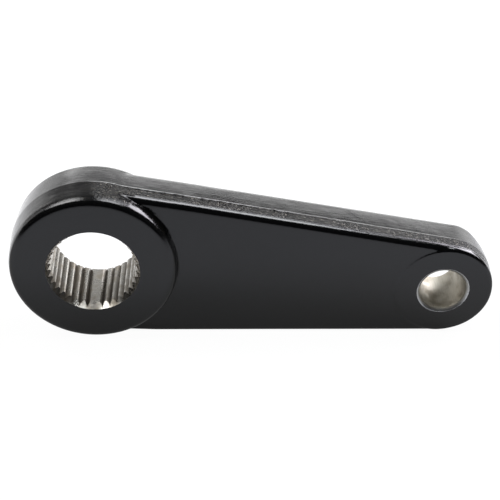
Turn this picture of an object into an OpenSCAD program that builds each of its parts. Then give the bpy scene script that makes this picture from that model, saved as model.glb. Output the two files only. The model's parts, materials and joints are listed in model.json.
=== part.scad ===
// Pitman arm: one forged steel lever between a steering box and its linkage.
// It stands on its lower edge with the front face towards -Y, and Z is up.
// The origin is on the axis of the splined bore, in the parting plane of the forging.

/* [Lever] */
// Distance between the axes of the two bores
centre_distance = 150.8; // [110:0.1:220]
// Radius of the big end in the parting plane
boss_r = 35.9; // [32:0.1:46]
// Radius of the small end in the parting plane
end_r = 22.1; // [18:0.1:28]
// How far the big end stands proud of the straight edges
boss_proud = 0.6; // [0.3:0.1:2]

/* [Thickness] */
// Parting plane to the flat rear face
rear_depth = 15; // [10:0.1:20]
// Parting plane to the front face of the lever
front_depth = 7.8; // [6.5:0.1:14]
// Height of the raised boss above the front face
boss_step = 5.9; // [4:0.1:12]
// Height of the small end's pad above the front face
pad_step = 0.3; // [0.2:0.05:1]

/* [Forging] */
// Draft of the outer walls, in degrees
draft = 4.5; // [2:0.5:9]
// Draft of the boss in front of the parting plane, in degrees
boss_draft = 6.5; // [4.5:0.5:9]
// Rounding of the front edges
front_round = 1.6; // [1:0.1:3]
// Rounding of the lever's rear edges
rear_round = 3.5; // [1:0.1:5]
// Rounding of the big end's rear edge
boss_rear_round = 1.8; // [1:0.1:5]
// Fillet where the boss rises from the front face
foot_fillet = 1; // [0.8:0.1:3.5]
// Height of the trimmed flash along the parting line
flash_h = 0.3; // [0.1:0.05:0.6]
// Width of the trimmed flash
flash_w = 1.4; // [0.8:0.1:3]

/* [Splined bore] */
// Serration pitches round the bore
pitches = 36; // [24:1:48]
// Radius over the tooth tips at the front face
tip_r = 17.8; // [15:0.1:19]
// Depth of the grooves
groove_depth = 1.25; // [0.6:0.05:2]
// Width of the land on a tooth tip
tip_land = 0.9; // [0.5:0.05:1.5]
// How fast the bore opens towards the rear, in degrees a side
spline_taper = 1.2; // [0:0.1:2]
// Width of the chamfer at the front mouth
mouth_width = 1.9; // [1.5:0.1:3]
// Width of the chamfer at the rear mouth
rear_mouth_width = 1.6; // [1.5:0.1:3]
// Angle of both chamfers to the axis, in degrees
mouth_angle = 32; // [25:1:50]
// Angle of the wide master tooth, anticlockwise from +X
master_angle = -90; // [-180:10:180]

/* [Stud hole] */
// Radius of the tapered hole at the pad's face
stud_r = 10.2; // [8:0.1:12]
// Taper of the hole on its diameter, as one in this many
stud_taper = 8; // [6:1:20]
// Chamfer at the front mouth
stud_chamfer = 1.4; // [0.4:0.1:2]
// Chamfer at the rear mouth
stud_rear_chamfer = 0.8; // [0.4:0.1:2]

/* [Hidden] */
$fn = 96;
// Straight pieces in each rounded edge
round_steps = 6;
// How far cutters run past a face
past = 1;
// The small end stands this little proud, so that it crosses the straight edges cleanly
end_proud = 0.03;
// How far a fillet is sunk into the faces that it joins
sunk = 0.05;
// The blank is this much too deep at the rear, where one flat cut trims it
trim = 0.06;
// The big end's section is this much out of step, so that its corners cross the straight edges' one by one
out_of_step = 0.05;

boss_face = front_depth + boss_step;
blank_rear = rear_depth + trim;
// Distance from the big bore's axis to each straight edge, in the parting plane
edge_r = boss_r - boss_proud;
// Angle of each straight edge to the line of centres
edge_angle = asin((edge_r - end_r) / centre_distance);
// The lower edge lies along X, so the small end's axis sits a little lower than the big one's
small_end = [centre_distance * cos(edge_angle), end_r - edge_r, 0];
rail_length = centre_distance * cos(edge_angle);
// Each rail reaches from its own edge past the line of centres
rail_inner = end_r - edge_r - past;

pad_face = front_depth + pad_step;
stud_length = pad_face + rear_depth;
stud_rear_r = stud_r - stud_length / (2 * stud_taper);

bore_middle = (boss_face - rear_depth) / 2;
bore_length = boss_face + rear_depth;
tip_middle_r = tip_r + bore_length / 2 * tan(spline_taper);
tip_rear_r = tip_r + bore_length * tan(spline_taper);
pitch_angle = 360 / pitches;
groove_half = (2 * PI * tip_middle_r / pitches - tip_land) / 2;

// Points of an arc, from one angle to another
function arc(centre, r, from, to) =
    [for (i = [0 : round_steps])
        let (a = from + (to - from) * i / round_steps)
        centre + r * [cos(a), sin(a)]];

// Radius of a wall with this lean at a height above or below the parting plane
function wall_r(r, height, lean) = r - abs(height) * tan(lean);

// Centre of the rounding that is tangent to a leaning wall and to a face
function round_centre_r(r, height, rounding, lean) =
    r - (rounding + (height - rounding) * sin(lean)) / cos(lean);

// Edge of the forging behind the parting plane, from the rear face to the flash
function rear_edge(r, rear, rounding, flash) = concat(
    arc([round_centre_r(r, rear, rounding, draft), rounding - rear], rounding, -90, -draft),
    [[wall_r(r, flash / 2, draft), -flash / 2], [r + flash_h, -flash / 4]]);

// Edge of the forging in front of the parting plane, from the flash to the front face
function front_edge(r, front, lean, flash) = concat(
    [[r + flash_h, flash / 4], [wall_r(r, flash / 2, lean), flash / 2]],
    arc([round_centre_r(r, front, front_round, lean), front - front_round], front_round, lean, 90));

// Section of the lever's own edge
module edge_profile(r, front, inner) {
    polygon(concat([[inner, -blank_rear]],
                   rear_edge(r, blank_rear, rear_round, flash_w),
                   front_edge(r, front, draft, flash_w),
                   [[inner, front]]));
}

// Section of the big end, out of step with the lever's
module boss_profile() {
    rear = blank_rear + out_of_step;
    flash = flash_w + out_of_step;
    polygon(concat([[0, -rear]],
                   rear_edge(boss_r, rear, boss_rear_round, flash),
                   front_edge(boss_r, boss_face, boss_draft, flash),
                   [[0, boss_face]]));
}

// Drafted section with square corners, as high as the boss
module square_profile(r, inner) {
    polygon([[inner, -rear_depth], [wall_r(r, rear_depth, draft), -rear_depth], [r, 0],
             [wall_r(r, boss_face, draft), boss_face], [inner, boss_face]]);
}

// A straight run of a section, ending on the small end's axis
module rail() {
    translate([-rail_length, 0, 0])
        rotate([90, 0, 90])
            linear_extrude(rail_length) children();
}

// The straight half of the lever that carries its lower edge
module lower_rail() {
    translate(small_end) mirror([0, 1, 0]) rail() children();
}

// The straight half that carries its upper edge
module upper_rail() {
    translate(small_end) rotate([0, 0, -2 * edge_angle]) rail() children();
}

module big_end() {
    rotate_extrude() boss_profile();
}

// The small end, whose front rises as a low pad
module small_end() {
    translate(small_end)
        rotate_extrude() edge_profile(end_r + end_proud, pad_face, 0);
}

// Concave ring round the foot of the boss, kept inside the lever's own edges
module boss_foot() {
    centre = [wall_r(boss_r, front_depth + foot_fillet, boss_draft) + foot_fillet / cos(boss_draft) - sunk,
              front_depth + foot_fillet - sunk];
    root = front_depth - front_round - past;
    inner = centre[0] - 2 * foot_fillet;
    intersection() {
        rotate_extrude()
            polygon(concat(arc(centre, foot_fillet, 180 + boss_draft, 270),
                           [[centre[0], root], [inner, root], [inner, centre[1]]]));
        union() {
            lower_rail() square_profile(end_r - sunk, rail_inner);
            upper_rail() square_profile(end_r - sunk, rail_inner);
        }
    }
}

// Grooves between the teeth; the one that the master tooth fills is left out
module grooves() {
    for (i = [0 : pitches - 1]) {
        if (i != 0)
            rotate([0, 0, master_angle + i * pitch_angle])
                translate([tip_middle_r, 0, bore_middle])
                    rotate([0, -spline_taper, 0])
                        linear_extrude(2 * bore_length, center = true) groove_section();
    }
}

// V groove, open towards the bore's axis
module groove_section() {
    flare = groove_half * (1 + past / groove_depth);
    polygon([[-past, flare], [groove_depth, 0], [-past, -flare]]);
}

module splined_bore() {
    opening = past * tan(spline_taper);
    translate([0, 0, -rear_depth - past])
        cylinder(h = bore_length + 2 * past, r1 = tip_rear_r + opening, r2 = tip_r - opening);
    grooves();
    translate([0, 0, boss_face])
        mouth(tip_r + mouth_width, mouth_width, mouth_angle);
    translate([0, 0, -rear_depth])
        mirror([0, 0, 1]) mouth(tip_rear_r + rear_mouth_width, rear_mouth_width, mouth_angle);
}

// Chamfer with this outer radius and width at a face
module mouth(r, width, angle) {
    depth = width / tan(angle);
    translate([0, 0, -depth])
        cylinder(h = depth + past, r1 = r - width, r2 = r + past * tan(angle));
}

module stud_hole() {
    widening = past / (2 * stud_taper);
    translate(small_end) {
        translate([0, 0, -rear_depth - past])
            cylinder(h = stud_length + 2 * past, r1 = stud_rear_r - widening, r2 = stud_r + widening);
        translate([0, 0, pad_face])
            mouth(stud_r + stud_chamfer, stud_chamfer, 45);
        translate([0, 0, -rear_depth])
            mirror([0, 0, 1]) mouth(stud_rear_r + stud_rear_chamfer, stud_rear_chamfer, 45);
    }
}

// Everything behind the rear face
module rear_cut() {
    reach = boss_r + past;
    translate([-reach, -reach, -rear_depth - past])
        cube([centre_distance + 2 * reach, 2 * reach, past]);
}

module pitman_arm() {
    color("#262628")
        rotate([90, 0, 0])
            difference() {
                union() {
                    lower_rail() edge_profile(end_r, front_depth, rail_inner);
                    upper_rail() edge_profile(end_r, front_depth, rail_inner);
                    big_end();
                    small_end();
                    boss_foot();
                }
                rear_cut();
                splined_bore();
                stud_hole();
            }
}

pitman_arm();
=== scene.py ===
# %% [markdown]
# # A forged pitman arm
# This lesson dresses a steering lever that was forged from one lump of steel, machined in its two bores
# and sprayed black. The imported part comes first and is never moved: it gives the size, the frame and the
# mounts. The frame is in metres, with Z up and the front face towards -Y.

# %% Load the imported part
import json
import math

import bmesh
import bpy
import numpy as np
import openvdb
from mathutils import Matrix, Vector, noise


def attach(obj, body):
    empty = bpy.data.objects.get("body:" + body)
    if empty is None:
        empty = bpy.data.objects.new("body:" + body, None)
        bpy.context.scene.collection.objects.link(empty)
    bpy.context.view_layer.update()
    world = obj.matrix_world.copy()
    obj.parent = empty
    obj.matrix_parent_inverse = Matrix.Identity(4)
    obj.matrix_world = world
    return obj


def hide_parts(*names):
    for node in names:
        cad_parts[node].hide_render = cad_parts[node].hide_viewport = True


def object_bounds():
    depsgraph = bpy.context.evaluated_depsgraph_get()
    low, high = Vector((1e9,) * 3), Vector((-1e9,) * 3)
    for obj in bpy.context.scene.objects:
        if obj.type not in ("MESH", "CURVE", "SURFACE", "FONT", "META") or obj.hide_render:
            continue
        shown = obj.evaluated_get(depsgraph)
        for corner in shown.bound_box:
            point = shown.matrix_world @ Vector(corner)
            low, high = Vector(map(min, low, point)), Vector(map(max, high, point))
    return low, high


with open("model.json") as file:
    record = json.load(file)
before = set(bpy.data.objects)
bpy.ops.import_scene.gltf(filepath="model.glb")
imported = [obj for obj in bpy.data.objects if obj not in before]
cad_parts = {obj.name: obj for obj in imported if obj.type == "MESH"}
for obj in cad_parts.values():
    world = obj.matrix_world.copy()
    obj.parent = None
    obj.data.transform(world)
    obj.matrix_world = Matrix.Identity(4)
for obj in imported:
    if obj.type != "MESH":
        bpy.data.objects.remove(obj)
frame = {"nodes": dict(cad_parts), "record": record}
cad_box = [list(corner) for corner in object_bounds()]
mounts = {mount["name"]: mount for mount in frame["record"]["mounts"]}
print("nodes:", sorted(frame["nodes"]), "box:", np.round(cad_box, 4).tolist())

# %% [markdown]
# ## The camera
# The two bores are circles, and a circle seen at a slant is an ellipse whose shape gives the viewing
# angle. The place below comes from fitting both bores and the outline at once. A camera could also be
# turned by hand until the picture looks right, but a fitted one lets every later difference be blamed on
# the model. The lens is long, so the square picture has little perspective.

# %% Camera
# The picture's own axes in the frame
RIGHT = Vector((0.99880, -0.03670, 0.03242))
DOWN = Vector((0.00586, -0.56782, -0.82313))
FORWARD = RIGHT.cross(DOWN)
CAMERA_PLACE = Vector((0.04149, -0.41724, 0.28975))
LENS = 85.2175
SENSOR = 36

camera = bpy.data.objects.new("camera", bpy.data.cameras.new("camera"))
bpy.context.scene.collection.objects.link(camera)
turn = Matrix((RIGHT, -DOWN, -FORWARD)).transposed()
camera.matrix_world = Matrix.LocRotScale(CAMERA_PLACE, turn.to_quaternion(), None)
camera.data.lens = LENS
camera.data.sensor_width = SENSOR
camera.data.clip_start = 0.01
bpy.context.scene.camera = camera
print("camera looks along", np.round(FORWARD, 3).tolist())

# %% [markdown]
# ## Sizes
# They are the part's own sizes in millimetres, measured from the parting plane, where the two dies met.
# Here x runs along the lever, y goes up and w comes out of the front. Keeping that order makes the
# forging easy to think about, and one function turns it into the frame. The small end's place comes from
# the part's stud hole.

# %% Sizes in millimetres
# One millimetre in metres
MM = 0.001
# Radii in the parting plane: the big end, the straight edges about its axis, and the small end
BOSS_R = 35.9
EDGE_R = 35.3
END_R = 22.1
# Faces, as distances from the parting plane
REAR = 15.0
FRONT = 7.8
PAD_FACE = 8.1
BOSS_FACE = 13.7
# Axis of the small end, and its distance from the big end's
END_X = mounts["stud_hole"]["pos_m"][0] / MM
END_Y = mounts["stud_hole"]["pos_m"][2] / MM
CENTRES = math.hypot(END_X, END_Y)


def to_frame(x, y, w):
    """Points of the forging, in millimetres, as points of the frame, in metres."""
    return np.stack([np.asarray(x), -np.asarray(w), np.asarray(y)], axis=-1) * MM


print("centres are", round(CENTRES, 2), "mm apart")

# %% [markdown]
# ## The forged blank as a field
# A forging has no sharp edge: hot steel fills rounded dies, and the walls lean so that it drops out.
# Modelling that from faces means bevels that collide where the boss melts into the lever. A distance
# field avoids it. Each form is a function that is negative inside. One helper rounds the outer corner
# where two of them meet, and another fills the inner corner where one rises from the other.

# %% Helpers for fields
def ramp(value, zero, one):
    """Goes from 0 to 1 between two values, and stays level beyond them."""
    return np.clip((value - zero) / (one - zero), 0, 1)


def blend(a, b, share):
    """The first value, changed towards the second by a share."""
    return a + (b - a) * share


def rounded_corner(a, b, radius):
    """Both at once, with the outer corner rounded."""
    outside = np.hypot(np.maximum(a + radius, 0), np.maximum(b + radius, 0))
    return np.minimum(np.maximum(a, b), -radius) + outside


def soft_join(a, b, radius):
    """Either of them, with the inner corner filled."""
    inside = np.hypot(np.maximum(radius - a, 0), np.maximum(radius - b, 0))
    return np.maximum(np.minimum(a, b), radius) - inside


print("a rounding of 2 mm takes", round(float(rounded_corner(0.0, 0.0, 2.0)), 2), "mm off a corner")

# %% [markdown]
# ## The outline
# Seen from the front, the lever's edge is a line that wraps round two circles. It could be drawn as a
# curve, but a field needs a distance at every point, so each point asks which of the three stretches is
# its own. Beyond the big end the straight edges bow out a little, the lower one more than the upper one.

# %% Outline
# How far each edge bows out, and how far along it the bow starts
LOWER_BOW = 0.9
LOWER_BOW_START = 4
UPPER_BOW = 0.25
UPPER_BOW_START = 16
# Length over which a bow grows before it dies away again
BOW_GROWS = 22


def lever_axes(x, y):
    """Distances along the line of centres, from the big end's axis, and away from it."""
    return (x * END_X + y * END_Y) / CENTRES, np.abs(x * END_Y - y * END_X) / CENTRES


def lever_outline(x, y):
    """Distance in the parting plane to the line that wraps round both ends."""
    along, across = lever_axes(x, y)
    slope = (EDGE_R - END_R) / CENTRES
    rise = math.sqrt(1 - slope * slope)
    length = CENTRES * rise
    place = along * rise - across * slope
    below = y * END_X < x * END_Y
    start = np.where(below, LOWER_BOW_START, UPPER_BOW_START)
    bow = np.where(below, LOWER_BOW, UPPER_BOW)
    bow = bow * ramp(place, start, start + BOW_GROWS) * ramp(place, length, 0)
    straight = across * rise + along * slope - EDGE_R - bow
    big = np.hypot(along, across) - EDGE_R
    small = np.hypot(along - CENTRES, across) - END_R
    return np.where(place < 0, big, np.where(place > length, small, straight))


print("outline at the big end's axis:", round(float(lever_outline(0.0, 0.0)), 2), "mm")

# %% [markdown]
# ## Leaning walls and bent edges
# Each wall leans a little so that the forging leaves its die. Behind the parting line it leans more and
# more towards the rear face. In front, the edge first bends inwards and is rounded only at its very
# end, which gives a bright line with a black one below it. A plain bevel would mix the two into one soft
# highlight.

# %% Walls and edges
# Bent edges: depth below the face, radius of the bend, and the height after which it runs on straight
LEVER_EASE = {"depth": 2.8, "radius": 6.0, "bend": 2.8}
BOSS_EASE = {"depth": 4.2, "radius": 8.0, "bend": 3.2}


def lean(degrees):
    """Slope of a wall that leans by an angle."""
    return math.tan(math.radians(degrees))


def crowned(w, draft, crown):
    """Slope of a rear wall, which leans more and more towards the rear face."""
    return (1 - crown - crown * w / REAR) * draft


def eased(rise, ease):
    """How far an edge has bent inwards at a height: first in an arc, then straight on."""
    height = np.maximum(rise + ease["depth"], 0)
    bend = np.minimum(height, ease["bend"])
    return (bend / 2 + height - bend) * bend / ease["radius"]


def drafted(outline, w, front, slopes, easing, rounding, rear_rounding):
    """A lump with leaning walls, a front edge that is bent and then rounded, and a rounded rear edge."""
    wall = outline + np.abs(w) * np.where(w > 0, slopes[0], slopes[1]) + easing
    return rounded_corner(rounded_corner(wall, w - front, rounding), -REAR - w, rear_rounding)


print("the lever's edge bends in by", round(float(eased(0.0, LEVER_EASE)), 2), "mm")

# %% [markdown]
# ## Lever and pad
# The lever is one drafted lump, and the pad is a second, slightly higher one round the small end. Two
# solids with their own bevels would show a seam. As fields, the deeper of the two wins at each point, and
# every value may change along the lever: the upper edge is bent and the lower one isn't, and the tip is
# rounder at the rear.

# %% Lever and pad
LEVER_DRAFT = lean(0.5)
TIP_DRAFT = lean(3.0)
REAR_DRAFT = lean(4.5)
LEVER_CROWN = 0.38
LOWER_ROUND = 1.6
UPPER_ROUND = 2.1
PAD_ROUND = 1.3
# Rounding of the rear edge at places along the lever
REAR_ROUND_X = [0.35 * END_X, END_X, END_X + 8, END_X + 13, END_X + 20]
REAR_ROUNDS = [4.3, 2.9, 2.9, 4.6, 11.0]
# Half the width over which the lower edge's form changes into the upper one's
EDGE_BLEND = 4
# Shares of the bend and of the rear draft that are lost at the tip
TIP_LOSES_BEND = 0.55
TIP_LOSES_DRAFT = 0.6
# Places along the lever between which the tip's form sets in, and between which its draft is lost
TIP_X = (END_X - 4, END_X + 6)
LOSS_X = (END_X + 4, END_X + 12)


def lever_field(x, y, w):
    """The lever with the low pad on its small end."""
    upper = ramp((y * END_X - x * END_Y) / CENTRES, -EDGE_BLEND, EDGE_BLEND)
    tip = ramp(x, *TIP_X)
    front_round = blend(blend(LOWER_ROUND, UPPER_ROUND, upper), PAD_ROUND, tip)
    rear_round = np.interp(x, REAR_ROUND_X, REAR_ROUNDS)
    rear_slope = crowned(w, REAR_DRAFT, LEVER_CROWN) * (1 - TIP_LOSES_DRAFT * ramp(x, *LOSS_X))
    slopes = (blend(LEVER_DRAFT, TIP_DRAFT, tip), rear_slope)
    bend = upper * (1 - TIP_LOSES_BEND * tip)
    easing = bend * eased(w - FRONT, LEVER_EASE)
    lever = drafted(lever_outline(x, y), w, FRONT, slopes, easing, front_round, rear_round)
    pad_outline = np.hypot(x - END_X, y - END_Y) - END_R
    easing = bend * eased(w - PAD_FACE, LEVER_EASE)
    pad = drafted(pad_outline, w, PAD_FACE, slopes, easing, PAD_ROUND, rear_round)
    return np.minimum(lever, pad)


print("field at the stud hole's axis:", round(float(lever_field(END_X, END_Y, 0.0)), 2), "mm")

# %% [markdown]
# ## The boss, and the whole blank
# The boss rises from the lever with a fillet at its foot, as the die leaves it. Where the two share the
# outer wall there is hardly any fillet, or it would swell the outline. A bevel can't fade like that, but
# the soft join takes a radius that changes from point to point.

# %% Boss and blank
BOSS_DRAFT = lean(3.6)
BOSS_REAR_DRAFT = lean(3.5)
BOSS_CROWN = 0.3
BOSS_ROUND = 1.7
BIG_END_REAR_ROUND = 1.8
FOOT_FILLET = 1.0
WALL_FILLET = 0.15
# Depths inside the outline between which the wall's fillet becomes the foot's
FOOT_INSIDE = (3, 13)
# Height over which the fillet grows from almost nothing at the parting plane
FILLET_GROWS = 3
LEAST_SHARE = 0.001


def boss_field(x, y, w):
    """The big end with its raised boss."""
    slopes = (BOSS_DRAFT, crowned(w, BOSS_REAR_DRAFT, BOSS_CROWN))
    easing = eased(w - BOSS_FACE, BOSS_EASE)
    return drafted(np.hypot(x, y) - BOSS_R, w, BOSS_FACE, slopes, easing, BOSS_ROUND, BIG_END_REAR_ROUND)


def blank_field(x, y, w):
    """The lever and the boss, joined at a fillet that only the front has."""
    fillet = blend(WALL_FILLET, FOOT_FILLET, ramp(-lever_outline(x, y), *FOOT_INSIDE))
    fillet = fillet * np.clip(w / FILLET_GROWS, LEAST_SHARE, 1)
    return soft_join(lever_field(x, y, w), boss_field(x, y, w), fillet)


print("field at the bore's axis:", round(float(blank_field(0.0, 0.0, 0.0)), 2), "mm")

# %% [markdown]
# ## From field to mesh
# OpenVDB turns a grid of distances into clean quads. An even grid would spend its points on the flat
# faces, so this one is graded: rows lie close together at the parting line and in the rounded edges, and
# far apart on the plain walls. The mesh is made in grid steps, and each point is then moved to where its
# row and column really lie.

# %% Graded grid
# Half the grid's height, the places where the plain lever starts and ends, and the grid's end
REACH = 38.6
LEVER_STARTS = 46
LEVER_ENDS = 122
GRID_ENDS = 175


def graded(*runs):
    """Rows from runs of (start, end, step), joined end to end."""
    rows = [np.linspace(a, b, max(2, round((b - a) / step) + 1))[:-1] for a, b, step in runs]
    return np.concatenate(rows + [[runs[-1][1]]])


big_end = (-REACH, LEVER_STARTS, 0.7)
plain_lever = (LEVER_STARTS, LEVER_ENDS, 1.0)
small_end = (LEVER_ENDS, GRID_ENDS, 0.7)
xs = graded(big_end, plain_lever, small_end)
ys = graded((-REACH, REACH, 0.6))
rear_edge = (-16.2, -11.0, 0.45)
rear_wall = (-11.0, -1.2, 0.85)
parting_line = (-1.2, 1.2, 0.2)
front_wall = (1.2, 5, 0.7)
lever_edge = (5, 9.4, 0.22)
boss_wall = (9.4, 11.8, 0.5)
boss_edge = (11.8, 14.7, 0.25)
ws = graded(rear_edge, rear_wall, parting_line, front_wall, lever_edge, boss_wall, boss_edge)
print("grid:", len(xs), "by", len(ys), "by", len(ws))

# %% Blank mesh
FAR_OUTSIDE = 5.0

field = blank_field(xs[:, None, None], ys[None, :, None], ws[None, None, :])
grid = openvdb.FloatGrid(FAR_OUTSIDE)
grid.copyFromArray(field.astype(np.float32))
grid_points, quads = grid.convertToQuads(isovalue=0.0)
blank_x = np.interp(grid_points[:, 0], np.arange(len(xs)), xs)
blank_y = np.interp(grid_points[:, 1], np.arange(len(ys)), ys)
blank_w = np.interp(grid_points[:, 2], np.arange(len(ws)), ws)

blank_mesh = bpy.data.meshes.new("pitman_arm_forging")
blank_mesh.from_pydata(to_frame(blank_x, blank_y, blank_w).tolist(), [], quads.tolist())
shell = bmesh.new()
shell.from_mesh(blank_mesh)
bmesh.ops.recalc_face_normals(shell, faces=shell.faces)
shell.to_mesh(blank_mesh)
shell.free()
forging = bpy.data.objects.new("pitman_arm_forging", blank_mesh)
bpy.context.scene.collection.objects.link(forging)
print("blank:", len(blank_mesh.vertices), "points,", len(blank_mesh.polygons), "quads")

# %% [markdown]
# ## Flash line and forged skin
# Where the dies met, metal squeezed out as a thin flash. It is trimmed off, and a broken ridge is left
# along the lever's edge. The skin itself is never quite flat: it swells over centimetres and has small
# dents, also on the front edges, which break their highlights. All are small moves of the points along
# their normals. A bump map would be easier, but it can't change an outline. The moves come before the
# machining, so the bores stay true.

# %% Helpers for the skin
def read_points(mesh):
    """Points of a mesh in metres, and their normals."""
    points = np.zeros(len(mesh.vertices) * 3)
    mesh.vertices.foreach_get("co", points)
    normals = np.zeros(len(mesh.vertices) * 3)
    mesh.vertex_normals.foreach_get("vector", normals)
    return points.reshape(-1, 3), normals.reshape(-1, 3)


def wander(size, seed):
    """Smooth noise of about this size in millimetres at every point of the blank."""
    shift = Vector((seed * 7.3, seed * 3.1, seed * 5.7))
    return np.array([noise.noise(Vector(p) * (1 / (size * MM)) + shift) for p in blank_points])


blank_points, blank_normals = read_points(blank_mesh)
print("points to move:", len(blank_points))

# %% Flash line and forged skin
RIDGE_HEIGHT = 0.22
RIDGE_HALF_WIDTH = 0.42
# Places along the lever between which the ridge rises, where it is last whole, and where it is gone
RIDGE_RISES = (3, 23)
FLASH_WHOLE = 70
FLASH_GONE = 142
# The ridge wanders about this share of its height, with short and long breaks, between two limits
RIDGE_SHARE = 0.65
SHORT_BREAKS = 1.1
LONG_BREAKS = 0.7
RIDGE_LIMITS = (0.1, 1.3)
# How squarely a point may face the front or the rear and still be on a wall
WALL_FACING = (0.625, 0)
# Heights of the swells and dents of the walls, the dents of the front edges and the waves of the faces
WALL_SWELL = 0.055
WALL_DENT = 0.03
EDGE_DENT = 0.024
EDGE_DENT_W = (0, 3)
FACE_WAVE = 0.012

x = blank_points[:, 0] / MM
w = -blank_points[:, 1] / MM
on_wall = ramp(np.abs(blank_normals[:, 1]), *WALL_FACING)
ridge = RIDGE_HEIGHT * on_wall * np.clip(1 - (w / RIDGE_HALF_WIDTH) ** 2, 0, 1)
ridge = ridge * ramp(x, *RIDGE_RISES) * ramp(x, FLASH_GONE, FLASH_WHOLE)
broken = RIDGE_SHARE + SHORT_BREAKS * wander(1.8, 1) + LONG_BREAKS * wander(9, 2)
ridge = ridge * np.clip(broken, *RIDGE_LIMITS)
skin = WALL_SWELL * wander(11, 3) + WALL_DENT * wander(4, 4)
skin = skin + EDGE_DENT * ramp(w, *EDGE_DENT_W) * wander(2.4, 6)
move = ridge + on_wall * skin + FACE_WAVE * wander(16, 5)
moved = np.clip(blank_points + blank_normals * move[:, None] * MM, cad_box[0], cad_box[1])
blank_mesh.vertices.foreach_set("co", moved.ravel())
blank_mesh.update()
print("skin moves by", round(float(move.min()), 3), "to", round(float(move.max()), 3), "mm")

# %% [markdown]
# ## Cutters for the machining
# The machine shop works on the forging with turned and broached tools, so each cut is a solid that is
# taken away. The bores could be modelled into the blank, but a cut gives what a tool gives: a crisp edge,
# and bare steel on exactly the faces that it made.

# %% Cutter helpers
# How far cutters run past a face
PAST = 2


def make_cutter(name, rings, material):
    """A closed solid through rings of points, each ring with as many points as the first."""
    count = len(rings[0])
    tool = bmesh.new()
    loops = [[tool.verts.new(p) for p in ring] for ring in rings]
    for low, high in zip(loops[:-1], loops[1:]):
        for i in range(count):
            j = (i + 1) % count
            tool.faces.new((low[i], low[j], high[j], high[i]))
    tool.faces.new(loops[0][::-1])
    tool.faces.new(loops[-1])
    bmesh.ops.recalc_face_normals(tool, faces=tool.faces)
    mesh = bpy.data.meshes.new(name)
    tool.to_mesh(mesh)
    tool.free()
    mesh.materials.append(material)
    return bpy.data.objects.new(name, mesh)


def turned(name, centre, stations, material, segments=144):
    """A cutter turned round an axis, from stations of (height, radius)."""
    angle = np.linspace(0, 2 * math.pi, segments, endpoint=False)
    rings = [to_frame(centre[0] + r * np.cos(angle), centre[1] + r * np.sin(angle), np.full(segments, w))
             for w, r in stations]
    return make_cutter(name, rings, material)


def cut(body, cutter):
    """Takes a cutter away from the forging, and leaves the cutter's finish on the new faces."""
    bpy.context.scene.collection.objects.link(cutter)
    change = body.modifiers.new(cutter.name, "BOOLEAN")
    change.operation = "DIFFERENCE"
    change.solver = "MANIFOLD"
    change.material_mode = "TRANSFER"
    change.object = cutter
    bpy.context.view_layer.objects.active = body
    bpy.ops.object.modifier_apply(modifier=change.name)
    bpy.data.objects.remove(cutter)
    print("cut leaves", len(body.data.polygons), "faces")


paint = bpy.data.materials.new("satin_black_paint")
steel = bpy.data.materials.new("machined_steel")
forging.data.materials.append(paint)
print("finishes to come:", paint.name, "and", steel.name)

# %% [markdown]
# ## The serrated bore
# Its teeth grip the steering box's shaft. Each groove is a V with a blunt root, and the corners of the
# teeth are broken by a tenth of a millimetre, as the broach leaves them. Those small flats catch the
# light and give the bore its row of bright lines. The cutter is one ring of points with a groove at every
# pitch but one, where the wide master tooth stays, drawn out along a slight taper. Cones then cut the
# mouths.

# %% Serrated bore
PITCHES = 36
TIP_R = 17.8
GROOVE_DEPTH = 1.25
TIP_LAND = 0.9
# Radius at which a groove's width is measured
PITCH_R = 18.1
# Broken corners: their depth, which is also their reach on to the tip, and their reach into the groove
CORNER = 0.12
CORNER_INWARDS = 0.08
# Half the width of the blunt root
ROOT_HALF = 0.16
MASTER_ANGLE = -math.pi / 2
BORE_TAPER = lean(1.2)


def serrated_ring(w):
    """Points of the serrated bore at one height."""
    tip = TIP_R + (BOSS_FACE - w) * BORE_TAPER
    pitch = 2 * math.pi / PITCHES
    half = (PITCH_R * pitch - TIP_LAND) / 2
    flank = [(half + CORNER, 0.0), (half - CORNER_INWARDS, CORNER), (ROOT_HALF, GROOVE_DEPTH - CORNER)]
    groove = [(-sideways, deep) for sideways, deep in flank] + [(0, GROOVE_DEPTH)] + flank[::-1]
    angles = np.array([MASTER_ANGLE + i * pitch + sideways / PITCH_R
                       for i in range(PITCHES) for sideways, deep in groove])
    radii = np.array([tip + (deep if i else 0.0) for i in range(PITCHES) for sideways, deep in groove])
    return to_frame(radii * np.cos(angles), radii * np.sin(angles), np.full(len(angles), w))


cut(forging, make_cutter("broach", [serrated_ring(-REAR - PAST), serrated_ring(BOSS_FACE + PAST)], steel))

# %% Mouths of the serrated bore
MOUTH_WIDTH = 1.9
MOUTH_ANGLE = 32
MOUTH_R = TIP_R + MOUTH_WIDTH
# The rear mouth is narrow, so that its edge shows the teeth
REAR_MOUTH_R = 19.1
# How much a mouth's cone widens where it runs past a face
FLARE = PAST * lean(MOUTH_ANGLE)

front_mouth = [(BOSS_FACE - 2 * PAST, MOUTH_R - 2 * FLARE), (BOSS_FACE + PAST, MOUTH_R + FLARE)]
rear_mouth = [(-REAR - PAST, REAR_MOUTH_R + FLARE), (-REAR + 2 * PAST, REAR_MOUTH_R - 2 * FLARE)]
cut(forging, turned("front_mouth", (0, 0), front_mouth, steel))
cut(forging, turned("rear_mouth", (0, 0), rear_mouth, steel))

# %% [markdown]
# ## The stud hole
# A ball joint's tapered stud wedges into this hole from the front. The low pad round it is forged and
# black like the rest. The hole and its mouths were cut later and are bare. One cone would do for the
# front mouth, but the real one has a worn lip that draws a thin bright ring, so it opens in small steps.

# %% Stud hole
STUD_R = 10.2
# The taper of one in eight on the diameter is one in sixteen on the radius
STUD_TAPER = 1 / 16
# Front mouth: heights above the pad's face, with radii beyond the hole's
STUD_LIP = [(-1.5, -0.4), (-0.9, 0.05), (-0.15, 0.85), (0, 1.25), (1, 3.9)]
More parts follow.
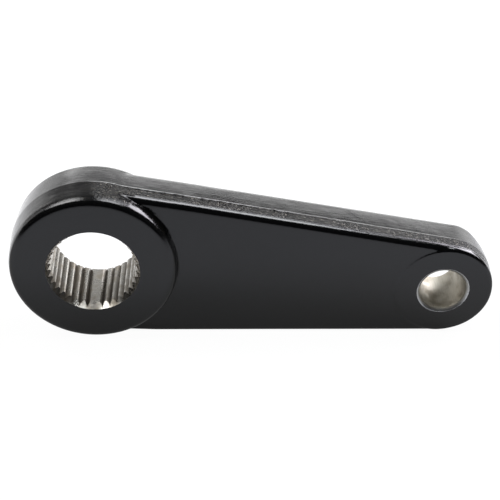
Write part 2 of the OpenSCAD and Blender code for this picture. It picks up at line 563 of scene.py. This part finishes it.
# Rear mouth: a chamfer, and how far its cutter reaches inside the hole
STUD_CHAMFER = 0.8
CHAMFER_INSIDE = 0.5

stud_axis = (END_X, END_Y)
stud_rear_r = STUD_R - (PAD_FACE + REAR) * STUD_TAPER
hole = [(-REAR - PAST, stud_rear_r - PAST * STUD_TAPER), (PAD_FACE + PAST, STUD_R + PAST * STUD_TAPER)]
lip = [(PAD_FACE + height, STUD_R + wider) for height, wider in STUD_LIP]
back = [(-REAR - PAST, stud_rear_r + STUD_CHAMFER + PAST),
        (-REAR + STUD_CHAMFER + CHAMFER_INSIDE, stud_rear_r - CHAMFER_INSIDE)]
cut(forging, turned("reamer", stud_axis, hole, steel))
cut(forging, turned("stud_mouth", stud_axis, lip, steel))
cut(forging, turned("stud_back", stud_axis, back, steel))

# %% [markdown]
# ## Shading the edges
# Forged corners are round and shade smoothly. Machined ones are crisp, so every edge that turns by more
# than thirty degrees is marked sharp. Splitting the mesh there would do the same but leave it open.
# Weighted normals keep the big flat faces flat beside the small strips.

# %% Smooth and sharp shading
SHARP_FROM = math.radians(30)

for polygon in forging.data.polygons:
    polygon.use_smooth = True
forging.data.set_sharp_from_angle(angle=SHARP_FROM)
weighted = forging.modifiers.new("weighted_normals", "WEIGHTED_NORMAL")
weighted.keep_sharp = True
bpy.context.view_layer.objects.active = forging
bpy.ops.object.modifier_apply(modifier=weighted.name)
triangles = sum(len(p.vertices) - 2 for p in forging.data.polygons)
print("forging:", triangles, "triangles, finishes:", [m.name for m in forging.data.materials])

# %% [markdown]
# ## A place along the rim
# The streaks of the rear half follow the rim round both ends. In object coordinates they would run
# straight and turn into dots at the ends, so each point gets its distance along the rim, worked out as
# for a tape that is laid round the big end, along the straight edge and round the small end.

# %% Place along the rim
mesh = forging.data
points, normals = read_points(mesh)
x = points[:, 0] / MM
y = points[:, 2] / MM
w = -points[:, 1] / MM
along, across = lever_axes(x, y)
edge_angle = math.asin((EDGE_R - END_R) / CENTRES)
edge_place = along - across * math.tan(edge_angle)
round_big = EDGE_R * np.minimum(math.pi - np.arctan2(across, along), math.pi / 2 + edge_angle)
straight = np.clip(edge_place, 0, CENTRES)
round_small = END_R * np.clip(math.pi / 2 - edge_angle - np.arctan2(across, along - CENTRES), 0, None)
tape = round_big + straight + np.where(edge_place > CENTRES, round_small, 0)
rim_places = np.stack([tape, w, np.zeros_like(w)], axis=-1) * MM
layer = mesh.attributes.new("rim_place", "FLOAT_VECTOR", "POINT")
layer.data.foreach_set("vector", rim_places.astype(np.float32).ravel())
print("half the rim is", round(float(tape.max())), "mm long")

# %% [markdown]
# ## Where each skin lies
# The front half of the rim is rough: it was blasted and its paint lies on grit, which also runs up the
# boss above the lever and faintly over the front edges. The rear half was drawn smooth by the die. Masks
# for them are stored on the points, because a mask that is worked out once from the shape stays on the
# surface from every side, and any material can read it by name. Painting them by hand would have to be
# done again after each change of shape.

# %% Regions of the forging
# Limits between which a region grows from nothing to whole. The shoulder is the boss's upper right side,
# which belongs to the lever's rim.
RIM_FACING = (0.86, 0.56)
FRONT_HALF_W = (-0.2, 0.3)
BOSS_RADIUS = (BOSS_R + 3.6, BOSS_R - 0.4)
SHOULDER_X = (-3, 6)
SHOULDER_Y = (25, 30)

facing = np.abs(normals[:, 1])
radius = np.hypot(x, y)
rim = ramp(facing, *RIM_FACING)
front_half = ramp(w, *FRONT_HALF_W)
shoulder = ramp(x, *SHOULDER_X) * ramp(y, *SHOULDER_Y)
on_boss = ramp(radius, *BOSS_RADIUS) * (1 - shoulder)
print("rim:", int((rim > 0.5).sum()), "points, boss:", int((on_boss > 0.5).sum()), "points")

# %% Mask of the grit
def store(name, values):
    """Keeps one number for each point of the forging."""
    layer = mesh.attributes.new(name, "FLOAT", "POINT")
    layer.data.foreach_set("value", np.clip(values, 0, 1).astype(np.float32))
    print(name, "covers", round(float(np.mean(values > 0.5)), 3), "of the points")


# The gritty wall: how far out it reaches on the lever, how much farther on the boss, and its soft end
GRIT_FACING = (0.5, 0.2)
GRIT_W = 5.5
GRIT_FARTHER = 8
GRIT_SOFT = 0.7
# The boss above the lever: places along the lever where it starts and ends, and its least height
ABOVE_STARTS = (-3, 3)
ABOVE_ENDS = (18, 15)
ABOVE_Y = 22
# Farther out than this is the boss's edge, where the grit is weaker
GRIT_WEAKENS = 9.7
WEAK_GRIT = 0.65
# The front edges have a little grit, and the boss's have more
EDGE_FACING = (0.9, 0.6)
EDGE_W = (4.5, 6.5)
EDGE_GRIT = 0.1
BOSS_EDGE_GRIT = 0.08

above_lever = ramp(x, *ABOVE_STARTS) * ramp(x, *ABOVE_ENDS) * (y > ABOVE_Y)
grit_top = GRIT_W + GRIT_FARTHER * above_lever
rough_wall = ramp(facing, *GRIT_FACING) * ramp(w, grit_top, grit_top - GRIT_SOFT)
rough_wall = rough_wall * np.where(w > GRIT_WEAKENS, WEAK_GRIT, 1)
rough_edge = (EDGE_GRIT + BOSS_EDGE_GRIT * on_boss) * ramp(facing, *EDGE_FACING) * ramp(w, *EDGE_W)
store("grit", np.maximum(rough_wall * front_half * (1 - on_boss), rough_edge))

# %% Masks of the drawn half and the flash
# The paler flash line: distances from the parting plane, what the boss loses of it, and the least that is
# left
FLASH_W = (0.6, 0.1)
BOSS_LOSES_FLASH = 0.8
LEAST_FLASH = 0.1

store("drawn", rim * (1 - (1 - on_boss) * front_half))
fading = np.maximum(ramp(x, FLASH_GONE, FLASH_WHOLE), LEAST_FLASH)
store("flash", rim * ramp(np.abs(w), *FLASH_W) * (1 - BOSS_LOSES_FLASH * on_boss) * fading)

# %% Masks of the machined bores
# The grooves end this much inside the mouth's edge
GROOVES_END = 0.02
# Beyond the stud hole's radius: where its wall ends, and between which distances its lip lies
WALL_ENDS = 0.1
LIP_STARTS = 0.3
LIP_ENDS = 1.4

groove_share = (radius - TIP_R - (BOSS_FACE - w) * BORE_TAPER) / GROOVE_DEPTH
store("groove", np.where(radius < MOUTH_R - GROOVES_END, groove_share, 0))
beyond_stud = np.hypot(x - END_X, y - END_Y) - STUD_R
store("reamed", np.where(beyond_stud < WALL_ENDS, 1.0, 0.0))
on_lip = (beyond_stud > LIP_STARTS) & (beyond_stud < LIP_ENDS) & (w > 0)
store("stud_lip", np.where(on_lip, 1.0, 0.0))

# %% [markdown]
# ## Shared effects
# Paint and bare steel both have grain, streaks and patches, only in other sizes and amounts. They could
# be wired up in each material again. Here each effect is a node group, built once with named inputs and
# placed in both materials with its own values. A group gives only masks and heights. The shader itself
# stays in the material.

# %% Node group helpers
def new_group(name, inputs, outputs):
    """An empty shader group with named number sockets, and its two ends."""
    group = bpy.data.node_groups.new(name, "ShaderNodeTree")
    for label, value in inputs.items():
        socket = group.interface.new_socket(label, in_out="INPUT", socket_type="NodeSocketFloat")
        socket.default_value = value
    for label in outputs:
        group.interface.new_socket(label, in_out="OUTPUT", socket_type="NodeSocketFloat")
    start = group.nodes.new("NodeGroupInput")
    start.location = (-900, 0)
    finish = group.nodes.new("NodeGroupOutput")
    finish.location = (500, 0)
    return group, start, finish


def add(tree, kind, place, settings=None, **inputs):
    """A node at a place, with its settings and the values of its inputs."""
    made = tree.nodes.new(kind)
    made.location = place
    for key, value in (settings or {}).items():
        setattr(made, key, value)
    for key, value in inputs.items():
        made.inputs[key.replace("_", " ")].default_value = value
    return made


def sized_points(tree, size, place, source=None):
    """Object coordinates, or others, divided by a size in metres that comes from a socket."""
    if source is None:
        source = add(tree, "ShaderNodeTexCoord", (place[0] - 400, place[1])).outputs["Object"]
    inverse = add(tree, "ShaderNodeMath", (place[0] - 200, place[1] - 120), {"operation": "DIVIDE"})
    inverse.inputs[0].default_value = 1.0
    tree.links.new(size, inverse.inputs[1])
    scaled = add(tree, "ShaderNodeVectorMath", place, {"operation": "SCALE"})
    tree.links.new(source, scaled.inputs[0])
    tree.links.new(inverse.outputs[0], scaled.inputs["Scale"])
    return scaled.outputs[0]


def cloud_noise(tree, points, place, detail):
    """Soft noise, one unit of its points across."""
    made = add(tree, "ShaderNodeTexNoise", place, {"noise_dimensions": "3D"}, Scale=1.0, Detail=detail)
    tree.links.new(points, made.inputs["Vector"])
    return made


print("node groups so far:", len(bpy.data.node_groups))

# %% [markdown]
# ## Grain
# Blasted steel, orange peel in paint and fine pits are all a lumpy surface. One noise gives the height,
# and its highest parts are picked out as specks. Lumps could be real geometry, but below a millimetre
# that would take millions of faces.

# %% Grain group
grain, grain_in, grain_out = new_group("grain", {"Size": 0.0006, "Roughness": 0.6}, ["Height", "Specks"])
grain_points = sized_points(grain, grain_in.outputs["Size"], (-400, 100))
cloud = cloud_noise(grain, grain_points, (-200, 100), 3.0)
grain.links.new(grain_in.outputs["Roughness"], cloud.inputs["Roughness"])
specks = add(grain, "ShaderNodeMapRange", (150, -80), From_Min=0.57, From_Max=0.66)
grain.links.new(cloud.outputs[0], specks.inputs["Value"])
grain.links.new(cloud.outputs[0], grain_out.inputs["Height"])
grain.links.new(specks.outputs[0], grain_out.inputs["Specks"])
print("group", grain.name, "gives", [s.name for s in grain_out.inputs if s.name])

# %% [markdown]
# ## Streaks
# A die drags lines along the rim, and a broach draws them along the bore. Both are a noise that is
# stretched in one direction. An anisotropic shader would only stretch the highlight, without a single
# line to see.

# %% Streaks group
streaks, streaks_in, streaks_out = new_group(
    "streaks", {"Width": 0.0006, "Along X": 0.05, "Along Y": 1.0, "Along Z": 1.0}, ["Height", "Lines"])
streaks.interface.new_socket("Place", in_out="INPUT", socket_type="NodeSocketVector")
streak_points = sized_points(streaks, streaks_in.outputs["Width"], (-400, 100), streaks_in.outputs["Place"])
axes = add(streaks, "ShaderNodeCombineXYZ", (-400, -150))
for label, socket in zip(("Along X", "Along Y", "Along Z"), axes.inputs):
    streaks.links.new(streaks_in.outputs[label], socket)
drawn_out = add(streaks, "ShaderNodeVectorMath", (-200, 0), {"operation": "MULTIPLY"})
streaks.links.new(streak_points, drawn_out.inputs[0])
streaks.links.new(axes.outputs[0], drawn_out.inputs[1])
cloud = cloud_noise(streaks, drawn_out.outputs[0], (0, 100), 2.0)
picked = add(streaks, "ShaderNodeMapRange", (250, -80), From_Min=0.42, From_Max=0.66)
streaks.links.new(cloud.outputs[0], picked.inputs["Value"])
streaks.links.new(cloud.outputs[0], streaks_out.inputs["Height"])
streaks.links.new(picked.outputs[0], streaks_out.inputs["Lines"])
print("group", streaks.name, "gives", [s.name for s in streaks_out.inputs if s.name])

# %% [markdown]
# ## Patches
# Paint dries in duller and glossier areas, and oil stains steel in spots. They could be painted as an
# image, but a noise with soft limits needs none, and the two limits set how much is covered.

# %% Patches group
patches, patches_in, patches_out = new_group("patches", {"Size": 0.012, "From": 0.42, "To": 0.62}, ["Mask"])
patch_points = sized_points(patches, patches_in.outputs["Size"], (-400, 100))
cloud = cloud_noise(patches, patch_points, (-200, 100), 4.0)
mask = add(patches, "ShaderNodeMapRange", (100, 0), {"interpolation_type": "SMOOTHSTEP"})
patches.links.new(cloud.outputs[0], mask.inputs["Value"])
patches.links.new(patches_in.outputs["From"], mask.inputs["From Min"])
patches.links.new(patches_in.outputs["To"], mask.inputs["From Max"])
patches.links.new(mask.outputs[0], patches_out.inputs["Mask"])
print("group", patches.name, "gives", [s.name for s in patches_out.inputs if s.name])

# %% [markdown]
# ## Wiring a material
# A material here is a few layers: a colour laid over another by a mask, a roughness that masks add to,
# and a sum of heights. Small helpers keep each layer to one line, so that the recipe can be read from top
# to bottom.

# %% Material helpers
def place_group(tree, group, place, **inputs):
    """A copy of a shared effect in a material, with its own values."""
    return add(tree, "ShaderNodeGroup", place, {"node_tree": group}, **inputs)


def math_node(tree, operation, a, b, place):
    """A sum or product of two sockets or numbers."""
    made = add(tree, "ShaderNodeMath", place, {"operation": operation})
    for socket, value in zip(made.inputs, (a, b)):
        if isinstance(value, (int, float)):
            socket.default_value = value
        else:
            tree.links.new(value, socket)
    return made.outputs[0]


def mix_colour(tree, factor, a, b, place):
    """One colour laid over another by a mask."""
    made = add(tree, "ShaderNodeMix", place, {"data_type": "RGBA"})
    tree.links.new(factor, made.inputs["Factor"])
    for socket, value in ((made.inputs[6], a), (made.inputs[7], b)):
        if isinstance(value, tuple):
            socket.default_value = (*value, 1.0)
        else:
            tree.links.new(value, socket)
    return made.outputs[2]


def read_mask(tree, name, place):
    """A mask that was stored on the points."""
    return add(tree, "ShaderNodeAttribute", place, {"attribute_name": name}).outputs["Fac"]


def relief(tree, height, shader, strength, distance, place):
    """Small relief on a finish, from a height and its depth in metres."""
    bump = add(tree, "ShaderNodeBump", place, Strength=strength, Distance=distance)
    tree.links.new(height, bump.inputs["Height"])
    tree.links.new(bump.outputs["Normal"], shader.inputs["Normal"])


print("groups to place:", [group.name for group in (grain, streaks, patches)])

# %% [markdown]
# ## Satin black paint
# One thin coat sprayed over the forging. On the faces it is even and a little bluish. On the rough half
# of the rim brown grit shows through and dark scale lies in the pits, on the drawn half long streaks run
# along the lever, and the flash line is coloured a paler grey in broken patches. A grey colour would look
# flat. The paint is nearly black everywhere: what the eye reads as grey is the studio in the gloss. The
# pits are metallic over that black, so they lose the gloss.

# %% Colour of the paint
BLACK = (0.0006, 0.0007, 0.0009)
DULL_BLACK = (0.0009, 0.0009, 0.0009)
STREAK_GREY = (0.004, 0.004, 0.004)
GRIT_BROWN = (0.075, 0.066, 0.051)
# Paler grey laid along the flash line in broken patches
PALE_FLASH_GREY = (0.07, 0.07, 0.069)

paint.use_nodes = True
tree = paint.node_tree
shader = tree.nodes["Principled BSDF"]
grit_mask = read_mask(tree, "grit", (-1500, 300))
drawn_mask = read_mask(tree, "drawn", (-1500, 100))
flash_mask = read_mask(tree, "flash", (-1500, -100))
grit_grain = place_group(tree, grain, (-1500, -500), Size=0.0008, Roughness=0.7)
drag = place_group(tree, streaks, (-1500, -700), Width=0.0005, Along_X=0.04)
rim_place = add(tree, "ShaderNodeAttribute", (-1750, -700), {"attribute_name": "rim_place"})
tree.links.new(rim_place.outputs["Vector"], drag.inputs["Place"])
dull = place_group(tree, patches, (-1500, -950), Size=0.02)
broken = place_group(tree, patches, (-1500, -1200), Size=0.0016, From=0.36, To=0.56)

streaky = math_node(tree, "MULTIPLY", drawn_mask, drag.outputs["Lines"], (-1100, 400))
gritty = math_node(tree, "MULTIPLY", grit_mask, grit_grain.outputs["Specks"], (-1100, 200))
pale_flash = math_node(tree, "MULTIPLY", flash_mask, broken.outputs["Mask"], (-1100, 0))
colour = mix_colour(tree, dull.outputs["Mask"], BLACK, DULL_BLACK, (-900, 500))
colour = mix_colour(tree, streaky, colour, STREAK_GREY, (-700, 500))
colour = mix_colour(tree, gritty, colour, GRIT_BROWN, (-500, 500))
colour = mix_colour(tree, pale_flash, colour, PALE_FLASH_GREY, (-300, 500))
tree.links.new(colour, shader.inputs["Base Color"])
print("paint has", len(tree.nodes), "nodes")

# %% Gloss and relief of the paint
PAINT_ROUGH = 0.14
GRIT_ROUGHER = 0.12
DULL_ROUGHER = 0.06
# Shares of the relief's depth
GRIT_RELIEF = 0.95
STREAK_RELIEF = 0.12
PEEL_RELIEF = 0.05
PAINT_DEPTH = 0.00035

between_specks = math_node(tree, "SUBTRACT", 1.0, grit_grain.outputs["Specks"], (-1100, 650))
pitted = math_node(tree, "MULTIPLY", between_specks, grit_mask, (-900, 650))
tree.links.new(pitted, shader.inputs["Metallic"])
rough = math_node(tree, "MULTIPLY", grit_mask, GRIT_ROUGHER, (-900, 200))
rough = math_node(tree, "ADD", rough, PAINT_ROUGH, (-700, 200))
dulled = math_node(tree, "MULTIPLY", dull.outputs["Mask"], DULL_ROUGHER, (-700, 50))
rough = math_node(tree, "ADD", rough, dulled, (-500, 200))
tree.links.new(rough, shader.inputs["Roughness"])

peel = place_group(tree, grain, (-1500, -300), Size=0.0011, Roughness=0.5)
grit_height = math_node(tree, "MULTIPLY", grit_grain.outputs["Height"], grit_mask, (-1100, -400))
grit_height = math_node(tree, "MULTIPLY", grit_height, GRIT_RELIEF, (-900, -400))
drag_height = math_node(tree, "MULTIPLY", drag.outputs["Height"], drawn_mask, (-900, -600))
drag_height = math_node(tree, "MULTIPLY", drag_height, STREAK_RELIEF, (-700, -600))
peel_height = math_node(tree, "MULTIPLY", peel.outputs["Height"], PEEL_RELIEF, (-900, -250))
height = math_node(tree, "ADD", grit_height, drag_height, (-500, -500))
height = math_node(tree, "ADD", height, peel_height, (-300, -400))
relief(tree, height, shader, strength=1.0, distance=PAINT_DEPTH, place=(-150, -300))
print("paint has", len(tree.nodes), "nodes")

# %% [markdown]
# ## Machined steel
# The bores are bare. Broaching and reaming leave fine lines along the axis, handling has left brownish
# patches of oil and light oxide, and the grooves of the serration are darker and browner towards their
# roots. The stud hole is browner and duller, and its lip is rubbed bright. A glossy grey would look like
# plastic. Steel is a metal, so its colour is the colour of its reflection.

# %% Colour of the steel
CLEAN_STEEL = (0.35, 0.34, 0.313)
STAINED_STEEL = (0.155, 0.13, 0.096)
REAMED_STEEL = (0.39, 0.36, 0.28)
LINE_STEEL = (0.22, 0.209, 0.187)
# Darker, browner colour that grows towards the roots of the grooves
GROOVE_ROOT_BROWN = (0.075, 0.062, 0.047)
BRIGHT_STEEL = (0.5, 0.5, 0.49)
# How far each layer covers the ones below it
STAIN_COVERS = 0.75
REAMING_COVERS = 0.45
LINES_COVER = 0.3
ROOT_BROWN_COVERS = 0.9

steel.use_nodes = True
tree = steel.node_tree
shader = tree.nodes["Principled BSDF"]
shader.inputs["Metallic"].default_value = 1.0
lines = place_group(tree, streaks, (-1300, 200), Width=0.00035, Along_X=1.0, Along_Y=0.03, Along_Z=1.0)
axis_place = add(tree, "ShaderNodeTexCoord", (-1550, 200))
tree.links.new(axis_place.outputs["Object"], lines.inputs["Place"])
stain = place_group(tree, patches, (-1300, -100), Size=0.006, From=0.4, To=0.68)
reamed = read_mask(tree, "reamed", (-1300, -600))

spots = math_node(tree, "MULTIPLY", stain.outputs["Mask"], STAIN_COVERS, (-1000, 0))
browned = math_node(tree, "MULTIPLY", reamed, REAMING_COVERS, (-1000, -600))
lined = math_node(tree, "MULTIPLY", lines.outputs["Lines"], LINES_COVER, (-1000, 250))
root_darkening = math_node(tree, "MULTIPLY", read_mask(tree, "groove", (-1000, 450)), ROOT_BROWN_COVERS, (-700, 500))
colour = mix_colour(tree, spots, CLEAN_STEEL, STAINED_STEEL, (-700, 300))
colour = mix_colour(tree, browned, colour, REAMED_STEEL, (-600, 450))
colour = mix_colour(tree, lined, colour, LINE_STEEL, (-450, 300))
colour = mix_colour(tree, root_darkening, colour, GROOVE_ROOT_BROWN, (-250, 300))
colour = mix_colour(tree, read_mask(tree, "stud_lip", (-450, 500)), colour, BRIGHT_STEEL, (-50, 300))
tree.links.new(colour, shader.inputs["Base Color"])
print("steel has", len(tree.nodes), "nodes")

# %% Gloss and relief of the steel
STEEL_ROUGH = 0.27
STAIN_ROUGHER = 0.22
REAMED_ROUGHER = 0.22
PIT_RELIEF = 0.5
STEEL_DEPTH = 0.00006

rough = math_node(tree, "MULTIPLY", spots, STAIN_ROUGHER, (-700, 0))
rough = math_node(tree, "ADD", rough, STEEL_ROUGH, (-500, 0))
matt = math_node(tree, "MULTIPLY", reamed, REAMED_ROUGHER, (-700, -150))
rough = math_node(tree, "ADD", rough, matt, (-300, 0))
tree.links.new(rough, shader.inputs["Roughness"])
pits = place_group(tree, grain, (-1300, -350), Size=0.0008, Roughness=0.6)
height = math_node(tree, "MULTIPLY", pits.outputs["Height"], PIT_RELIEF, (-900, -350))
height = math_node(tree, "ADD", height, lines.outputs["Height"], (-700, -300))
relief(tree, height, shader, strength=0.5, distance=STEEL_DEPTH, place=(-300, -250))
print("steel has", len(tree.nodes), "nodes")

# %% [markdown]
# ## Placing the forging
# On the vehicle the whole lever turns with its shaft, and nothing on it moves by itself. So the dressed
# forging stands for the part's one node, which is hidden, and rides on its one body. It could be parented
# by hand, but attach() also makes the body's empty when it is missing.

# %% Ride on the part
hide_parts("pitman_arm")
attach(forging, "root")

# %% [markdown]
# ## Studio floor
# The lever stands on a pale sheet. Its front faces mirror the floor before them, so the floor's tone
# there sets how dark they are. The tone is painted light and shade: nearly black far in front, grey nearer,
# a little darker close to the lever as a painted shadow, and pale behind. Lamps could shape that too, but a
# colour that changes with depth is easier to steer. To the camera the floor glows white like the
# background.

# %% Floor
FLOOR_HALF = 6
# The tones below are painted light and shade on the floor
FAR_FRONT = (0.012, 0.012, 0.012)
NEAR_FRONT = (0.345, 0.352, 0.367)
PAINTED_CLOSE_SHADOW = (0.21, 0.212, 0.214)
BEHIND = (0.7, 0.7, 0.7)
# Depths between which the next tone takes over
NEAR_DEPTHS = (-0.34, -0.1)
CLOSE_DEPTHS = (-0.07, -0.012)
BEHIND_DEPTHS = (0.0, 0.06)

floor_mesh = bpy.data.meshes.new("floor")
corners = [(-FLOOR_HALF, -FLOOR_HALF, 0), (FLOOR_HALF, -FLOOR_HALF, 0),
           (FLOOR_HALF, FLOOR_HALF, 0), (-FLOOR_HALF, FLOOR_HALF, 0)]
floor_mesh.from_pydata(corners, [], [(0, 1, 2, 3)])
floor = bpy.data.objects.new("floor", floor_mesh)
floor.location.z = cad_box[0][2]
bpy.context.scene.collection.objects.link(floor)
pale = bpy.data.materials.new("pale_floor")
pale.use_nodes = True
tree = pale.node_tree
shader = tree.nodes["Principled BSDF"]
floor_place = add(tree, "ShaderNodeTexCoord", (-900, 0))
depth = add(tree, "ShaderNodeSeparateXYZ", (-700, 0))
tree.links.new(floor_place.outputs["Object"], depth.inputs[0])


def fade(depths, place):
    """A mask that grows from one depth of the floor to another."""
    made = add(tree, "ShaderNodeMapRange", place, {"interpolation_type": "SMOOTHSTEP"},
               From_Min=depths[0], From_Max=depths[1])
    tree.links.new(depth.outputs["Y"], made.inputs["Value"])
    return made.outputs[0]


near = fade(NEAR_DEPTHS, (-500, 0))
close = fade(CLOSE_DEPTHS, (-500, 150))
behind = fade(BEHIND_DEPTHS, (-500, 300))
tone = mix_colour(tree, near, FAR_FRONT, NEAR_FRONT, (-250, 0))
# A darker tone close to the lever, painted as its shadow
tone = mix_colour(tree, close, tone, PAINTED_CLOSE_SHADOW, (-150, 0))
tone = mix_colour(tree, behind, tone, BEHIND, (-50, 0))
tree.links.new(tone, shader.inputs["Base Color"])
shader.inputs["Roughness"].default_value = 0.9
shader.inputs["Specular IOR Level"].default_value = 0.0
floor_mesh.materials.append(pale)
print("floor lies at", round(floor.location.z, 4))

# %% Glow of the floor
# Strength of the glow, its share for the camera, its share close to the lever, and more of it behind
GLOW = 1.08
CAMERA_SHARE = 0.9
CLOSE_SHARE = 0.27
BEHIND_SHARE = 0.2

glow = add(tree, "ShaderNodeEmission", (0, -300), Strength=GLOW)
seen = add(tree, "ShaderNodeLightPath", (-300, 300))
share = math_node(tree, "MULTIPLY", seen.outputs["Is Camera Ray"], CAMERA_SHARE, (0, 300))
sheet = math_node(tree, "MULTIPLY", behind, BEHIND_SHARE, (-200, 450))
sheet = math_node(tree, "ADD", sheet, CLOSE_SHARE, (-50, 450))
sheet = math_node(tree, "MULTIPLY", sheet, close, (100, 450))
share = math_node(tree, "MAXIMUM", share, sheet, (150, 350))
both = add(tree, "ShaderNodeMixShader", (300, 100))
tree.links.new(share, both.inputs[0])
tree.links.new(shader.outputs[0], both.inputs[1])
tree.links.new(glow.outputs[0], both.inputs[2])
tree.links.new(both.outputs[0], tree.nodes["Material Output"].inputs["Surface"])
print("floor material has", len(tree.nodes), "nodes")

# %% [markdown]
# ## Soft boxes and cards
# Black gloss shows its surroundings more than its own colour, so each light is there for what mirrors it.
# The overhead box draws the bright line along the upper front edge, the left key does the same for the
# boss's left edge, and the right box for the strip on its right. The row of cards behind ends at the
# height that the rear half of the rim mirrors, so the rim fades from light to dark across its width, and
# the side card carries that fade round the big end. Above the row stand dimmer cards, which keep the
# gritty wall dark grey. Nothing stands in front, so the rounded edges go black below their highlights.
# One even dome would take all of that away.

# %% Soft boxes and cards
COOL = (0.95, 0.97, 1.0)
LILAC = (0.95, 0.93, 1.0)
WHITE = (1.0, 1.0, 1.0)
# Name, place, the point that it faces, width, height, brightness and tint
PANELS = [
    ("overhead_box", (0.34, 0.24, 1.0), (0.34, 0.24, 0), 0.43, 0.86, 13.0, COOL),
    ("left_key", (-0.62, 0.115, 0.9), (-0.62, 0.115, 0), 0.7, 0.77, 10.0, WHITE),
    ("side_card", (-1.3, 0.62, 0.5), (0, 0.62, 0.5), 0.55, 1.0, 1.25, WHITE),
    ("left_card", (-1.12, 1.6, 0.27), (-1.12, 0, 0.27), 1.04, 0.6, 1.3, WHITE),
    ("back_card", (-0.09, 1.6, 0.31), (-0.09, 0, 0.31), 1.02, 0.6, 3.0, WHITE),
    ("middle_card", (0.6, 1.6, 0.275), (0.6, 0, 0.275), 0.36, 0.6, 3.0, WHITE),
    ("right_card", (1.27, 1.6, 0.3), (1.27, 0, 0.3), 0.98, 0.7, 2.05, WHITE),
    ("high_left_card", (-0.2, 1.62, 0.82), (-0.2, 0, 0.82), 1.1, 0.42, 0.75, WHITE),
    ("upper_back_card", (0.07, 1.65, 1.3), (0.07, 0, 0.5), 3.4, 1.4, 0.2, WHITE),
    ("right_box", (0.98, 0.52, 0.65), (0, 0, 0), 0.75, 0.75, 14.0, LILAC),
]


def panel(name, place, target, width, height, brightness, tint):
    """A rectangular light of a given brightness that faces a point."""
    light = bpy.data.lights.new(name, "AREA")
    light.color = tint
    light.shape = "RECTANGLE"
    light.size = width
    light.size_y = height
    light.energy = brightness * math.pi * width * height
    box = bpy.data.objects.new(name, light)
    aim = Vector(target) - Vector(place)
    box.matrix_world = Matrix.LocRotScale(Vector(place), aim.to_track_quat("-Z", "Y"), None)
    bpy.context.scene.collection.objects.link(box)
    print(name, "gives", round(light.energy, 1), "W")


for row in PANELS:
    panel(*row)

# %% [markdown]
# ## Background
# The photograph is a cut-out on white. A white world would light the black paint from all sides, so the
# world is white only to the camera and nearly dark to the part. The plain view transform keeps white at
# white.

# %% World
DIM = (0.04, 0.04, 0.042)

world = bpy.data.worlds.new("studio")
bpy.context.scene.world = world
world.use_nodes = True
tree = world.node_tree
sky = tree.nodes["Background"]
seen = add(tree, "ShaderNodeLightPath", (-600, 200))
shade = mix_colour(tree, seen.outputs["Is Camera Ray"], DIM, WHITE, (-300, 100))
tree.links.new(shade, sky.inputs["Color"])
bpy.context.scene.view_settings.view_transform = "Standard"
print("world is dark to the part and white to the camera")
